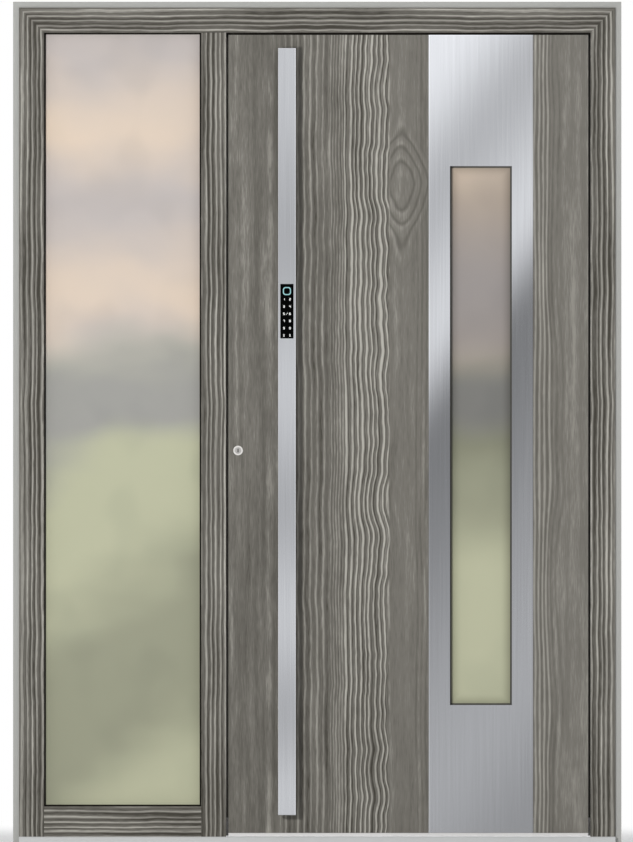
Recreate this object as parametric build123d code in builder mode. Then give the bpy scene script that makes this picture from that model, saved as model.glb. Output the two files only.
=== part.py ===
"""Entrance door with a fixed sidelight, built as separate named pieces.

Millimetres. X runs to the right seen from the street, Y runs into the house and Z runs up.
The origin is under the threshold, in the middle of the overall width and of the frame's depth.
"""
from build123d import *
import os

# Front view, from the left edge to the right edge
TRIM_FACE = 16
JAMB_FACE = 66
SIDELIGHT_WIDTH = 417
POST_FACE = 66
LEAF_GAP = 6
LEAF_WIDTH = 954

# Front view, from the floor up
THRESHOLD_HEIGHT = 18
POCKET_DROP = 4
LEAF_CLEARANCE = 10
LEAF_HEIGHT = 2116
RAIL_FACE = 80
DRIP_DROP = 8

# Depth of the frame, its rebates and the leaf
FRAME_DEPTH = 90
TRIM_SETBACK = 6
NOSE_PROJECTION = 15
NOSE_THICKNESS = 13
LIP_DEPTH = 28
REBATE = 16
STOP_GAP = 10
LEAF_SETBACK = 4
EDGE_BEVEL = 2
BREAK_WIDTH = 12
SEAL_WIDTH = 10
SEAL_HEIGHT = 5

# Leaf construction
STILE_WIDTH = 40
SKIN = 3
JOINT = 0.5
INLAY_FROM_EDGE = 531
INLAY_WIDTH = 277
SLOT_WIDTH = 164
SLOT_FROM_BOTTOM = 339
SLOT_FROM_TOP = 348

# Glazing of the sidelight and of the slot in the leaf
GLASS_OVERLAP = 12
GASKET = 4
GASKET_LIP = 4.5
SIDE_PANE = 6
SIDE_CAVITY = 16
SLOT_PANE = 8
SLOT_CAVITY = 20
SPACER_WIDTH = 10

# Pull bars
BAR_FROM_EDGE = 131.7
BAR_WIDTH = 47
BAR_DEPTH = 25
BAR_FROM_BOTTOM = 48
BAR_FROM_TOP = 36
BAR_STANDOFF = 42
BAR_ROUND = 1.5
POST_RADIUS = 11
POST_FROM_END = 150
POST_FOOT_RADIUS = 15
POST_FOOT = 3
KEYPAD_WIDTH = 34.5
KEYPAD_HEIGHT = 144
KEYPAD_FROM_BOTTOM = 1311
KEYPAD_DEPTH = 10
KEYPAD_PROUD = 0.8
KEYPAD_PLAY = 0.25

# Lock
LOCK_FROM_EDGE = 25.5
LOCK_FROM_BOTTOM = 1014
PLUG_RADIUS = 8.5
PLUG_PLAY = 0.1
ROSETTE_RADIUS = 12.7
ROSETTE_THICKNESS = 3.5
KEYWAY_WIDTH = 3
KEYWAY_HEIGHT = 9
KEYWAY_DEPTH = 15
PLATE_WIDTH = 20
PLATE_LENGTH = 300
PLATE_THICKNESS = 3

# Hinges
HINGE_OFFSET_X = 3
HINGE_OFFSET_Y = 9
KNUCKLE_RADIUS = 8
KNUCKLE_LENGTH = 36
KNUCKLE_PLAY = 0.5
PIN_RADIUS = 4
PIN_SEAT = 0.02
PIN_PLAY = 0.06
PIN_HEAD = 3
HINGE_PLATE = 4
HINGE_PLATE_WIDTH = 32
HINGE_FROM_BOTTOM = 222
HINGE_FROM_TOP = 244

# Bracket screw holes in the two side faces
SCREW_RADIUS = 4
SCREW_DEPTH = 40
SCREW_FROM_BACK = 31
SCREW_FROM_BOTTOM = 250
SCREW_FROM_TOP = 182

# Lines of the front view
overall_width = 2 * (TRIM_FACE + JAMB_FACE + LEAF_GAP) + SIDELIGHT_WIDTH + POST_FACE + LEAF_WIDTH
x_left = -overall_width / 2
left_jamb_outer = x_left + TRIM_FACE
left_jamb_sight = left_jamb_outer + JAMB_FACE
post_left = left_jamb_sight + SIDELIGHT_WIDTH
post_right = post_left + POST_FACE
leaf_left = post_right + LEAF_GAP
leaf_right = leaf_left + LEAF_WIDTH
right_jamb_sight = leaf_right + LEAF_GAP
right_jamb_outer = right_jamb_sight + JAMB_FACE
x_right = right_jamb_outer + TRIM_FACE

skin_bottom = THRESHOLD_HEIGHT + LEAF_CLEARANCE
leaf_bottom = skin_bottom - DRIP_DROP
leaf_top = skin_bottom + LEAF_HEIGHT
head_sight = leaf_top + LEAF_GAP
head_outer = head_sight + JAMB_FACE
z_top = head_outer + TRIM_FACE
rail_sight = THRESHOLD_HEIGHT + RAIL_FACE

# Rebates run behind the visible faces of the frame
glazing_left = left_jamb_sight - REBATE
glazing_right = post_left + REBATE
glazing_bottom = rail_sight - REBATE
rebate_top = head_sight + REBATE
door_left = post_right - REBATE
door_right = right_jamb_sight + REBATE

# Depth lines, from the street into the house
y_out = -FRAME_DEPTH / 2
y_in = FRAME_DEPTH / 2
y_stop = y_out + LIP_DEPTH
y_nose = y_out - NOSE_PROJECTION
leaf_front = y_out + LEAF_SETBACK
leaf_step = y_stop + STOP_GAP
core_front = leaf_front + SKIN
core_back = y_in - SKIN

# The rear half of the leaf is wider than its front half by this wing
wing = REBATE
wing_left = leaf_left - wing
wing_right = leaf_right + wing
wing_top = leaf_top + wing

os.makedirs("parts", exist_ok=True)


def facing(depth):
    """Upright plane at a depth, X to the right and Z up, facing the street."""
    return Plane.XZ.offset(-depth)


def slab(left, right, bottom, top, near, far, mode=Mode.ADD):
    """Block seen from the street, reaching from depth near back to depth far."""
    with BuildSketch(facing(far)) as outline:
        with Locations(((left + right) / 2, (bottom + top) / 2)):
            Rectangle(right - left, top - bottom)
    extrude(outline.sketch, amount=far - near, mode=mode)


def ring(left, right, bottom, top, band, near, far):
    """Rectangular ring seen from the street, its band measured inward from the outline."""
    with BuildSketch(facing(far)) as outline:
        with Locations(((left + right) / 2, (bottom + top) / 2)):
            Rectangle(right - left, top - bottom)
            Rectangle(right - left - 2 * band, top - bottom - 2 * band, mode=Mode.SUBTRACT)
    extrude(outline.sketch, amount=far - near)


def rod(across, height, radius, near, far, mode=Mode.ADD):
    """Round bar lying along the depth."""
    with BuildSketch(facing(far)) as outline:
        with Locations((across, height)):
            Circle(radius)
    extrude(outline.sketch, amount=far - near, mode=mode)


def upright(radius, bottom, top, mode=Mode.ADD):
    """Round bar standing on the hinge line."""
    with BuildSketch(Plane.XY.offset(bottom)) as outline:
        with Locations((hinge_x, hinge_y)):
            Circle(radius)
    extrude(outline.sketch, amount=top - bottom, mode=mode)


def cut_rebates():
    """Take the glazing rebate and the door rebate out of a frame member."""
    slab(glazing_left, glazing_right, glazing_bottom, rebate_top, y_stop, y_in, Mode.SUBTRACT)
    slab(door_left, door_right, 0, rebate_top, y_stop, y_in, Mode.SUBTRACT)


def screw_holes(face, inward):
    """Blind screw holes running along X from a side face of the frame."""
    with BuildSketch(Plane.YZ.offset(face)) as rounds:
        with Locations(*[(y_in - SCREW_FROM_BACK, height) for height in screw_heights]):
            Circle(SCREW_RADIUS)
    extrude(rounds.sketch, amount=inward * SCREW_DEPTH, mode=Mode.SUBTRACT)


# Four heights, evenly spread
screw_step = (z_top - SCREW_FROM_TOP - SCREW_FROM_BOTTOM) / 3
screw_heights = [SCREW_FROM_BOTTOM + screw_step * count for count in range(4)]

# Frame: jambs and head meet in a mitre at both upper corners
with BuildPart() as left_jamb:
    with BuildSketch(facing(y_in)):
        with BuildLine():
            Polyline(
                (left_jamb_outer, THRESHOLD_HEIGHT),
                (left_jamb_sight, THRESHOLD_HEIGHT),
                (left_jamb_sight, head_sight),
                (left_jamb_outer, head_outer),
                close=True,
            )
        make_face()
    extrude(amount=FRAME_DEPTH)
    front_edges = edges().filter_by(Axis.Z).group_by(Axis.Y)[0]
    chamfer(front_edges.sort_by(Axis.X)[-1], length=EDGE_BEVEL)
    cut_rebates()
    screw_holes(x_left, 1)
left_jamb.part.label = "left jamb"
export_step(left_jamb.part, "parts/left_jamb.step")

with BuildPart() as right_jamb:
    with BuildSketch(facing(y_in)):
        with BuildLine():
            Polyline(
                (right_jamb_outer, THRESHOLD_HEIGHT),
                (right_jamb_sight, THRESHOLD_HEIGHT),
                (right_jamb_sight, head_sight),
                (right_jamb_outer, head_outer),
                close=True,
            )
        make_face()
    extrude(amount=FRAME_DEPTH)
    front_edges = edges().filter_by(Axis.Z).group_by(Axis.Y)[0]
    chamfer(front_edges.sort_by(Axis.X)[0], length=EDGE_BEVEL)
    cut_rebates()
    screw_holes(x_right, -1)
right_jamb.part.label = "right jamb"
export_step(right_jamb.part, "parts/right_jamb.step")

with BuildPart() as head:
    with BuildSketch(facing(y_in)):
        with BuildLine():
            Polyline(
                (left_jamb_sight, head_sight),
                (right_jamb_sight, head_sight),
                (right_jamb_outer, head_outer),
                (left_jamb_outer, head_outer),
                close=True,
            )
        make_face()
    extrude(amount=FRAME_DEPTH)
    front_edges = edges().filter_by(Axis.X).group_by(Axis.Y)[0]
    chamfer(front_edges.sort_by(Axis.Z)[0], length=EDGE_BEVEL)
    cut_rebates()
head.part.label = "head"
export_step(head.part, "parts/head.step")

with BuildPart() as mullion_post:
    slab(post_left, post_right, THRESHOLD_HEIGHT, head_sight, y_out, y_in)
    chamfer(edges().filter_by(Axis.Z).group_by(Axis.Y)[0], length=EDGE_BEVEL)
    cut_rebates()
    strike_bottom = skin_bottom + LOCK_FROM_BOTTOM - PLATE_LENGTH / 2
    strike_top = strike_bottom + PLATE_LENGTH
    plate_near = (leaf_step + core_back - PLATE_WIDTH) / 2
    plate_far = plate_near + PLATE_WIDTH
    slab(
        door_left - PLATE_THICKNESS, door_left, strike_bottom, strike_top,
        plate_near, plate_far, Mode.SUBTRACT,
    )
mullion_post.part.label = "mullion post"
export_step(mullion_post.part, "parts/mullion_post.step")

with BuildPart() as sidelight_bottom_rail:
    slab(left_jamb_sight, post_left, THRESHOLD_HEIGHT, rail_sight, y_out, y_in)
    front_edges = edges().filter_by(Axis.X).group_by(Axis.Y)[0]
    chamfer(front_edges.sort_by(Axis.Z)[-1], length=EDGE_BEVEL)
    cut_rebates()
sidelight_bottom_rail.part.label = "sidelight bottom rail"
export_step(sidelight_bottom_rail.part, "parts/sidelight_bottom_rail.step")

# Grey border profiles round the frame
trim_front = y_out + TRIM_SETBACK
with BuildPart() as left_trim:
    slab(x_left, left_jamb_outer, 0, z_top, trim_front, y_in)
    screw_holes(x_left, 1)
left_trim.part.label = "left trim"
export_step(left_trim.part, "parts/left_trim.step")

with BuildPart() as right_trim:
    slab(right_jamb_outer, x_right, 0, z_top, trim_front, y_in)
    screw_holes(x_right, -1)
right_trim.part.label = "right trim"
export_step(right_trim.part, "parts/right_trim.step")

with BuildPart() as head_trim:
    slab(left_jamb_outer, right_jamb_outer, head_outer, z_top, trim_front, y_in)
head_trim.part.label = "head trim"
export_step(head_trim.part, "parts/head_trim.step")

# Threshold with a raised nose in front and a lower tread under the leaf
tread = THRESHOLD_HEIGHT - POCKET_DROP
nose_back = y_nose + NOSE_THICKNESS
break_near = y_stop
break_far = y_stop + BREAK_WIDTH
break_bottom = tread - POCKET_DROP
with BuildPart() as threshold:
    slab(left_jamb_outer, right_jamb_outer, 0, THRESHOLD_HEIGHT, y_nose, y_in)
    chamfer(edges().filter_by(Axis.X).group_by(Axis.Y)[0].sort_by(Axis.Z)[-1], length=EDGE_BEVEL)
    slab(post_right, right_jamb_sight, tread, THRESHOLD_HEIGHT, nose_back, y_stop, Mode.SUBTRACT)
    slab(door_left, door_right, tread, THRESHOLD_HEIGHT, y_stop, y_in, Mode.SUBTRACT)
    slab(door_left, door_right, break_bottom, tread, break_near, break_far, Mode.SUBTRACT)
threshold.part.label = "threshold"
export_step(threshold.part, "parts/threshold.step")

with BuildPart() as threshold_thermal_break:
    slab(door_left, door_right, break_bottom, tread, break_near, break_far)
threshold_thermal_break.part.label = "threshold thermal break"
export_step(threshold_thermal_break.part, "parts/threshold_thermal_break.step")

# Sidelight glazing, set from the house side against the frame's front lip
side_left = left_jamb_sight - GLASS_OVERLAP
side_right = post_left + GLASS_OVERLAP
side_bottom = rail_sight - GLASS_OVERLAP
side_top = head_sight + GLASS_OVERLAP
side_band = GLASS_OVERLAP + GASKET_LIP
side_outer_near = y_stop + GASKET
side_cavity_near = side_outer_near + SIDE_PANE
side_inner_near = side_cavity_near + SIDE_CAVITY
side_inner_far = side_inner_near + SIDE_PANE
bead_near = side_inner_far + GASKET

with BuildPart() as sidelight_outer_pane:
    slab(side_left, side_right, side_bottom, side_top, side_outer_near, side_cavity_near)
sidelight_outer_pane.part.label = "sidelight outer pane"
export_step(sidelight_outer_pane.part, "parts/sidelight_outer_pane.step")

with BuildPart() as sidelight_spacer:
    ring(side_left, side_right, side_bottom, side_top, SPACER_WIDTH, side_cavity_near, side_inner_near)
sidelight_spacer.part.label = "sidelight spacer"
export_step(sidelight_spacer.part, "parts/sidelight_spacer.step")

with BuildPart() as sidelight_inner_pane:
    slab(side_left, side_right, side_bottom, side_top, side_inner_near, side_inner_far)
sidelight_inner_pane.part.label = "sidelight inner pane"
export_step(sidelight_inner_pane.part, "parts/sidelight_inner_pane.step")

with BuildPart() as sidelight_gaskets:
    ring(side_left, side_right, side_bottom, side_top, side_band, y_stop, side_outer_near)
    ring(side_left, side_right, side_bottom, side_top, side_band, side_inner_far, bead_near)
sidelight_gaskets.part.label = "sidelight gaskets"
export_step(sidelight_gaskets.part, "parts/sidelight_gaskets.step")

with BuildPart() as sidelight_glazing_bead:
    ring(glazing_left, glazing_right, glazing_bottom, rebate_top, REBATE, bead_near, y_in)
sidelight_glazing_bead.part.label = "sidelight glazing bead"
export_step(sidelight_glazing_bead.part, "parts/sidelight_glazing_bead.step")

# Rubber seal on the stop face, round three sides of the doorway
seal_inset = (REBATE - SEAL_WIDTH) / 2
seal_left = door_left + seal_inset
seal_right = door_right - seal_inset
seal_top = rebate_top - seal_inset
seal_far = y_stop + SEAL_HEIGHT
with BuildPart() as frame_seal:
    slab(seal_left, seal_right, tread, seal_top, y_stop, seal_far)
    slab(
        seal_left + SEAL_WIDTH, seal_right - SEAL_WIDTH, tread, seal_top - SEAL_WIDTH,
        y_stop, seal_far, Mode.SUBTRACT,
    )
    slab(seal_left, seal_right, tread, THRESHOLD_HEIGHT, y_stop, seal_far, Mode.SUBTRACT)
frame_seal.part.label = "frame seal"
export_step(frame_seal.part, "parts/frame_seal.step")

with BuildPart() as strike_plate:
    slab(door_left - PLATE_THICKNESS, door_left, strike_bottom, strike_top, plate_near, plate_far)
strike_plate.part.label = "strike plate"
export_step(strike_plate.part, "parts/strike_plate.step")

# Hinges on the house side, on a line just past the leaf's hinge edge
hinge_x = wing_right + HINGE_OFFSET_X
hinge_y = y_in + HINGE_OFFSET_Y
lowest_hinge = skin_bottom + HINGE_FROM_BOTTOM
highest_hinge = leaf_top - HINGE_FROM_TOP
hinge_heights = [lowest_hinge, (lowest_hinge + highest_hinge) / 2, highest_hinge]
knuckle_half = KNUCKLE_LENGTH / 2
hinge_half = knuckle_half + KNUCKLE_LENGTH
arm_near = y_in + HINGE_PLATE / 2
arm_far = hinge_y
frame_plate_left = hinge_x + KNUCKLE_RADIUS + HINGE_PLATE
leaf_plate_right = hinge_x - KNUCKLE_RADIUS - HINGE_PLATE

with BuildPart() as frame_hinges:
    for height in hinge_heights:
        low = height - hinge_half
        high = height + hinge_half
        slab(frame_plate_left, frame_plate_left + HINGE_PLATE_WIDTH, low, high, y_in, y_in + HINGE_PLATE)
        for bottom, top in ((low, height - knuckle_half), (height + knuckle_half, high)):
            slab(hinge_x, frame_plate_left + HINGE_PLATE, bottom, top, arm_near, arm_far)
            upright(KNUCKLE_RADIUS, bottom, top)
        upright(PIN_RADIUS + PIN_SEAT, low, high, Mode.SUBTRACT)
frame_hinges.part.label = "frame hinges"
export_step(frame_hinges.part, "parts/frame_hinges.step")

with BuildPart() as hinge_pins:
    for height in hinge_heights:
        upright(PIN_RADIUS, height - hinge_half, height + hinge_half)
        upright(KNUCKLE_RADIUS, height + hinge_half, height + hinge_half + PIN_HEAD)
hinge_pins.part.label = "hinge pins"
export_step(hinge_pins.part, "parts/hinge_pins.step")

with BuildPart() as leaf_hinges:
    for height in hinge_heights:
        low = height - knuckle_half + KNUCKLE_PLAY
        high = height + knuckle_half - KNUCKLE_PLAY
        slab(
            leaf_plate_right - HINGE_PLATE_WIDTH, leaf_plate_right,
            height - hinge_half, height + hinge_half, y_in, y_in + HINGE_PLATE,
        )
        slab(leaf_plate_right - HINGE_PLATE, hinge_x, low, high, arm_near, arm_far)
        upright(KNUCKLE_RADIUS, low, high)
        upright(PIN_RADIUS + PIN_PLAY, low, high, Mode.SUBTRACT)
leaf_hinges.part.label = "leaf hinges"
export_step(leaf_hinges.part, "parts/leaf_hinges.step")

# Leaf: edge profiles with a wing on the house side, a core and skins on both faces
rail_top = skin_bottom + STILE_WIDTH
core_left = leaf_left + STILE_WIDTH
core_right = leaf_right - STILE_WIDTH
core_top = leaf_top - STILE_WIDTH
lock_x = leaf_left + LOCK_FROM_EDGE
lock_z = skin_bottom + LOCK_FROM_BOTTOM
plug_hole = PLUG_RADIUS + PLUG_PLAY

with BuildPart() as leaf_lock_stile:
    slab(leaf_left, core_left, rail_top, leaf_top, core_front, leaf_step)
    slab(wing_left, core_left, rail_top, wing_top, leaf_step, core_back)
    slab(
        wing_left, wing_left + PLATE_THICKNESS, strike_bottom, strike_top,
        plate_near, plate_far, Mode.SUBTRACT,
    )
    rod(lock_x, lock_z, plug_hole, core_front, core_back, Mode.SUBTRACT)
leaf_lock_stile.part.label = "leaf lock stile"
export_step(leaf_lock_stile.part, "parts/leaf_lock_stile.step")

with BuildPart() as leaf_hinge_stile:
    slab(core_right, leaf_right, rail_top, leaf_top, core_front, leaf_step)
    slab(core_right, wing_right, rail_top, wing_top, leaf_step, core_back)
leaf_hinge_stile.part.label = "leaf hinge stile"
export_step(leaf_hinge_stile.part, "parts/leaf_hinge_stile.step")

with BuildPart() as leaf_top_rail:
    slab(core_left, core_right, core_top, leaf_top, core_front, leaf_step)
    slab(core_left, core_right, core_top, wing_top, leaf_step, core_back)
leaf_top_rail.part.label = "leaf top rail"
export_step(leaf_top_rail.part, "parts/leaf_top_rail.step")

with BuildPart() as leaf_bottom_rail:
    slab(leaf_left, leaf_right, leaf_bottom, rail_top, core_front, leaf_step)
    slab(wing_left, wing_right, leaf_bottom, rail_top, leaf_step, core_back)
leaf_bottom_rail.part.label = "leaf bottom rail"
export_step(leaf_bottom_rail.part, "parts/leaf_bottom_rail.step")

# The window slot, its glass and the clearance round the glass
inlay_left = leaf_left + INLAY_FROM_EDGE
inlay_right = inlay_left + INLAY_WIDTH
slot_left = (inlay_left + inlay_right - SLOT_WIDTH) / 2
slot_right = slot_left + SLOT_WIDTH
slot_bottom = skin_bottom + SLOT_FROM_BOTTOM
slot_top = leaf_top - SLOT_FROM_TOP
pane_left = slot_left - GLASS_OVERLAP
pane_right = slot_right + GLASS_OVERLAP
pane_bottom = slot_bottom - GLASS_OVERLAP
pane_top = slot_top + GLASS_OVERLAP
liner_band = GLASS_OVERLAP + GASKET
lip_band = GLASS_OVERLAP + GASKET_LIP
hole_left = pane_left - GASKET
hole_right = pane_right + GASKET
hole_bottom = pane_bottom - GASKET
hole_top = pane_top + GASKET
pane_stack = SLOT_CAVITY + 2 * SLOT_PANE
slot_outer_near = (leaf_front + y_in - pane_stack) / 2
slot_cavity_near = slot_outer_near + SLOT_PANE
slot_inner_near = slot_cavity_near + SLOT_CAVITY
slot_inner_far = slot_inner_near + SLOT_PANE

with BuildPart() as leaf_core:
    slab(core_left, core_right, rail_top, core_top, core_front, core_back)
    slab(hole_left, hole_right, hole_bottom, hole_top, core_front, core_back, Mode.SUBTRACT)
leaf_core.part.label = "leaf core"
export_step(leaf_core.part, "parts/leaf_core.step")

# Outer skins: wood panel, steel inlay with the slot, wood panel
with BuildPart() as outer_panel_lock_side:
    slab(leaf_left, inlay_left - JOINT, skin_bottom, leaf_top, leaf_front, core_front)
    rod(lock_x, lock_z, plug_hole, leaf_front, core_front, Mode.SUBTRACT)
outer_panel_lock_side.part.label = "outer panel lock side"
export_step(outer_panel_lock_side.part, "parts/outer_panel_lock_side.step")

with BuildPart() as outer_panel_hinge_side:
    slab(inlay_right + JOINT, leaf_right, skin_bottom, leaf_top, leaf_front, core_front)
outer_panel_hinge_side.part.label = "outer panel hinge side"
export_step(outer_panel_hinge_side.part, "parts/outer_panel_hinge_side.step")

with BuildPart() as outer_steel_inlay:
    slab(inlay_left, inlay_right, skin_bottom, leaf_top, leaf_front, core_front)
    slab(slot_left, slot_right, slot_bottom, slot_top, leaf_front, core_front, Mode.SUBTRACT)
outer_steel_inlay.part.label = "outer steel inlay"
export_step(outer_steel_inlay.part, "parts/outer_steel_inlay.step")

# Inner skins repeat the outer ones and reach over the wing
with BuildPart() as inner_panel_lock_side:
    slab(wing_left, inlay_left - JOINT, leaf_bottom, wing_top, core_back, y_in)
    rod(lock_x, lock_z, plug_hole, core_back, y_in, Mode.SUBTRACT)
inner_panel_lock_side.part.label = "inner panel lock side"
export_step(inner_panel_lock_side.part, "parts/inner_panel_lock_side.step")

with BuildPart() as inner_panel_hinge_side:
    slab(inlay_right + JOINT, wing_right, leaf_bottom, wing_top, core_back, y_in)
inner_panel_hinge_side.part.label = "inner panel hinge side"
export_step(inner_panel_hinge_side.part, "parts/inner_panel_hinge_side.step")

with BuildPart() as inner_steel_inlay:
    slab(inlay_left, inlay_right, leaf_bottom, wing_top, core_back, y_in)
    slab(slot_left, slot_right, slot_bottom, slot_top, core_back, y_in, Mode.SUBTRACT)
inner_steel_inlay.part.label = "inner steel inlay"
export_step(inner_steel_inlay.part, "parts/inner_steel_inlay.step")

# Slot glazing
with BuildPart() as window_outer_pane:
    slab(pane_left, pane_right, pane_bottom, pane_top, slot_outer_near, slot_cavity_near)
window_outer_pane.part.label = "window outer pane"
export_step(window_outer_pane.part, "parts/window_outer_pane.step")

with BuildPart() as window_spacer:
    ring(pane_left, pane_right, pane_bottom, pane_top, SPACER_WIDTH, slot_cavity_near, slot_inner_near)
window_spacer.part.label = "window spacer"
export_step(window_spacer.part, "parts/window_spacer.step")

with BuildPart() as window_inner_pane:
    slab(pane_left, pane_right, pane_bottom, pane_top, slot_inner_near, slot_inner_far)
window_inner_pane.part.label = "window inner pane"
export_step(window_inner_pane.part, "parts/window_inner_pane.step")

with BuildPart() as window_gaskets:
    ring(pane_left, pane_right, pane_bottom, pane_top, lip_band, slot_outer_near - GASKET, slot_outer_near)
    ring(pane_left, pane_right, pane_bottom, pane_top, lip_band, slot_inner_far, slot_inner_far + GASKET)
window_gaskets.part.label = "window gaskets"
export_step(window_gaskets.part, "parts/window_gaskets.step")

with BuildPart() as window_liners:
    ring(hole_left, hole_right, hole_bottom, hole_top, liner_band, core_front, slot_outer_near - GASKET)
    ring(hole_left, hole_right, hole_bottom, hole_top, liner_band, slot_inner_far + GASKET, core_back)
window_liners.part.label = "window liners"
export_step(window_liners.part, "parts/window_liners.step")

# Pull bars, each on three posts, with the keypad set into the outer one
bar_left = leaf_left + BAR_FROM_EDGE
bar_right = bar_left + BAR_WIDTH
bar_middle = (bar_left + bar_right) / 2
bar_bottom = skin_bottom + BAR_FROM_BOTTOM
bar_top = leaf_top - BAR_FROM_TOP
post_step = (bar_top - bar_bottom) / 2 - POST_FROM_END
post_heights = [bar_bottom + POST_FROM_END + post_step * count for count in range(3)]
outer_bar_far = leaf_front - BAR_STANDOFF
outer_bar_near = outer_bar_far - BAR_DEPTH
inner_bar_near = y_in + BAR_STANDOFF
inner_bar_far = inner_bar_near + BAR_DEPTH
keypad_left = bar_middle - KEYPAD_WIDTH / 2
keypad_right = bar_middle + KEYPAD_WIDTH / 2
keypad_bottom = skin_bottom + KEYPAD_FROM_BOTTOM
keypad_top = keypad_bottom + KEYPAD_HEIGHT
keypad_far = outer_bar_near + KEYPAD_DEPTH

with BuildPart() as outer_pull_bar:
    slab(bar_left, bar_right, bar_bottom, bar_top, outer_bar_near, outer_bar_far)
    fillet(edges(), radius=BAR_ROUND)
    slab(
        keypad_left - KEYPAD_PLAY, keypad_right + KEYPAD_PLAY,
        keypad_bottom - KEYPAD_PLAY, keypad_top + KEYPAD_PLAY,
        outer_bar_near, keypad_far, Mode.SUBTRACT,
    )
outer_pull_bar.part.label = "outer pull bar"
export_step(outer_pull_bar.part, "parts/outer_pull_bar.step")

with BuildPart() as keypad_module:
    slab(keypad_left, keypad_right, keypad_bottom, keypad_top, outer_bar_near - KEYPAD_PROUD, keypad_far)
    fillet(edges().filter_by(Axis.Y), radius=BAR_ROUND)
keypad_module.part.label = "keypad module"
export_step(keypad_module.part, "parts/keypad_module.step")

with BuildPart() as outer_pull_posts:
    for height in post_heights:
        rod(bar_middle, height, POST_RADIUS, outer_bar_far, leaf_front)
        rod(bar_middle, height, POST_FOOT_RADIUS, leaf_front - POST_FOOT, leaf_front)
outer_pull_posts.part.label = "outer pull posts"
export_step(outer_pull_posts.part, "parts/outer_pull_posts.step")

with BuildPart() as inner_pull_bar:
    slab(bar_left, bar_right, bar_bottom, bar_top, inner_bar_near, inner_bar_far)
    fillet(edges(), radius=BAR_ROUND)
inner_pull_bar.part.label = "inner pull bar"
export_step(inner_pull_bar.part, "parts/inner_pull_bar.step")

with BuildPart() as inner_pull_posts:
    for height in post_heights:
        rod(bar_middle, height, POST_RADIUS, y_in, inner_bar_near)
        rod(bar_middle, height, POST_FOOT_RADIUS, y_in, y_in + POST_FOOT)
inner_pull_posts.part.label = "inner pull posts"
export_step(inner_pull_posts.part, "parts/inner_pull_posts.step")

# Lock: a plug right through the leaf, with a keyway and a ring on both faces
plug_near = leaf_front - ROSETTE_THICKNESS
plug_far = y_in + ROSETTE_THICKNESS
key_left = lock_x - KEYWAY_WIDTH / 2
key_right = lock_x + KEYWAY_WIDTH / 2
key_bottom = lock_z - KEYWAY_HEIGHT / 2
key_top = lock_z + KEYWAY_HEIGHT / 2
with BuildPart() as lock_cylinder:
    rod(lock_x, lock_z, PLUG_RADIUS, plug_near, plug_far)
    slab(key_left, key_right, key_bottom, key_top, plug_near, plug_near + KEYWAY_DEPTH, Mode.SUBTRACT)
    slab(key_left, key_right, key_bottom, key_top, plug_far - KEYWAY_DEPTH, plug_far, Mode.SUBTRACT)
lock_cylinder.part.label = "lock cylinder"
export_step(lock_cylinder.part, "parts/lock_cylinder.step")

with BuildPart() as cylinder_rosettes:
    for near, far in ((plug_near, leaf_front), (y_in, plug_far)):
        rod(lock_x, lock_z, ROSETTE_RADIUS, near, far)
        rod(lock_x, lock_z, plug_hole, near, far, Mode.SUBTRACT)
cylinder_rosettes.part.label = "cylinder rosettes"
export_step(cylinder_rosettes.part, "parts/cylinder_rosettes.step")

with BuildPart() as lock_faceplate:
    slab(wing_left, wing_left + PLATE_THICKNESS, strike_bottom, strike_top, plate_near, plate_far)
lock_faceplate.part.label = "lock faceplate"
export_step(lock_faceplate.part, "parts/lock_faceplate.step")
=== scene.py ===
"""Looks of the entrance door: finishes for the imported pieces, the small fittings and the studio."""

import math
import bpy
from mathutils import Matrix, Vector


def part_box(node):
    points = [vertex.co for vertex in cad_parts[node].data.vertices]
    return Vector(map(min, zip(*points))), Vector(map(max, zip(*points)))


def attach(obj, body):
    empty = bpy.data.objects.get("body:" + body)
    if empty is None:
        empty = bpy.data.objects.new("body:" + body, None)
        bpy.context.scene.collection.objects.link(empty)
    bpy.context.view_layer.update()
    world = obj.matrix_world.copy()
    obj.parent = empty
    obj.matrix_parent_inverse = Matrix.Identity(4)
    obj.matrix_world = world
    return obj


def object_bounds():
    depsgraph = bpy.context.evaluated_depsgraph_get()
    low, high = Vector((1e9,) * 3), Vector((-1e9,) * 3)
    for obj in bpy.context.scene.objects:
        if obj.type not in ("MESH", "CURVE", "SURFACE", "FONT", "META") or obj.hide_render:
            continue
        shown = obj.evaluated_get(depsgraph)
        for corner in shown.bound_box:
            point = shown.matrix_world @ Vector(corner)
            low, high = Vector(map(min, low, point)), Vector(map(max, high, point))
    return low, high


bl_info = {
    "name": "Entrance door looks",
    "version": (1, 0, 0),
    "blender": (4, 5, 0),
    "location": "3D View > Sidebar > Door",
    "description": "Finishes, small fittings and studio for an entrance door with a sidelight",
    "category": "Object",
}

import bpy
import numpy as np

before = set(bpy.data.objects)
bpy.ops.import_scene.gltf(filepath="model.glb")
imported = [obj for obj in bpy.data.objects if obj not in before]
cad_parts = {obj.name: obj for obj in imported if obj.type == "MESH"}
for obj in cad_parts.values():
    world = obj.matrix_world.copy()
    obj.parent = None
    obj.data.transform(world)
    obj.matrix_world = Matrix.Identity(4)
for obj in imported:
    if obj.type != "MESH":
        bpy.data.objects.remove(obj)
cad_box = [list(corner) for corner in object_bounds()]

IMAGE_WIDTH = 633
IMAGE_HEIGHT = 842
TURN = 2 * math.pi


def paint(red, green, blue):
    """Linear colour of a screen colour given from 0 to 255, by the sRGB curve."""
    share = np.array((red, green, blue)) / 255
    low = share / 12.92
    high = ((share + 0.055) / 1.055) ** 2.4
    return tuple(float(v) for v in np.where(share <= 0.04045, low, high))


def node_low(node):
    """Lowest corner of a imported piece."""
    return np.array(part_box(node)[0])


def node_high(node):
    """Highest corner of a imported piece."""
    return np.array(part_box(node)[1])


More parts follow.
